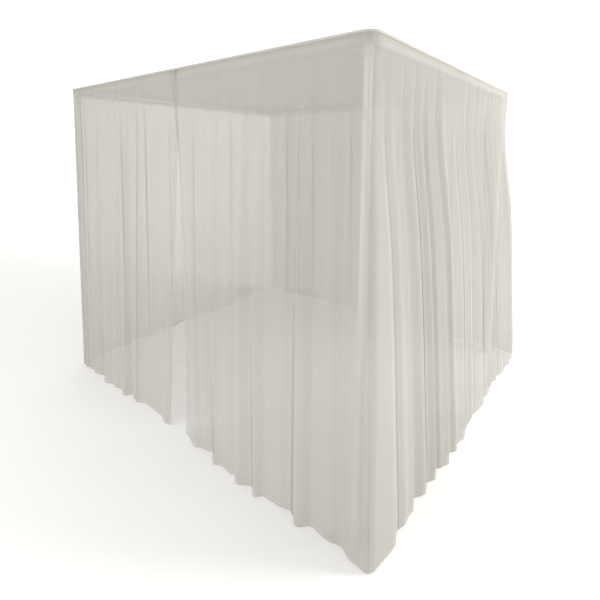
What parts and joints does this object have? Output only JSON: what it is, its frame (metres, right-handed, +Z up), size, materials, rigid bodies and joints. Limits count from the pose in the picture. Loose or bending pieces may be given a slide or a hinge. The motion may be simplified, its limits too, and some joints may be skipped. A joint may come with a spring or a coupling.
{
  "type": "mosquito net canopy on a four-post frame",
  "caption": "Sheer box-shaped mosquito net with a parted front and lapped foot end, hung on a plain four-post tube frame.",
  "frame": {"origin": "on the floor, in the middle of the outline of the hung net", "axes": "+X from the head end to the foot end, +Y from the side that opens to the closed side, +Z up"},
  "size_m": [2.4514, 2.3722, 2],
  "materials": {
    "net_cloth": "sheer polyester net",
    "bound_edge": "woven polyester tape",
    "frame_steel": "cream powder coat, satin",
    "frame_plastic": "white moulded plastic"
  },
  "bodies": {
    "root": {"net_roof": "net_cloth", "net_near_head": "net_cloth", "net_near_foot": "net_cloth", "net_foot_near": "net_cloth", "net_foot_far": "net_cloth", "net_far": "net_cloth", "net_head": "net_cloth", "net_binding": "bound_edge", "upper_post_head_near": "frame_steel", "lower_post_head_near": "frame_steel", "collar_head_near": "frame_plastic", "foot_cap_head_near": "frame_plastic", "corner_fitting_head_near": "frame_plastic", "upper_post_foot_near": "frame_steel", "lower_post_foot_near": "frame_steel", "collar_foot_near": "frame_plastic", "foot_cap_foot_near": "frame_plastic", "corner_fitting_foot_near": "frame_plastic", "upper_post_foot_far": "frame_steel", "lower_post_foot_far": "frame_steel", "collar_foot_far": "frame_plastic", "foot_cap_foot_far": "frame_plastic", "corner_fitting_foot_far": "frame_plastic", "upper_post_head_far": "frame_steel", "lower_post_head_far": "frame_steel", "collar_head_far": "frame_plastic", "foot_cap_head_far": "frame_plastic", "corner_fitting_head_far": "frame_plastic", "rail_near": "frame_steel", "rail_foot": "frame_steel", "rail_far": "frame_steel", "rail_head": "frame_steel"}
  },
  "joints": []
}
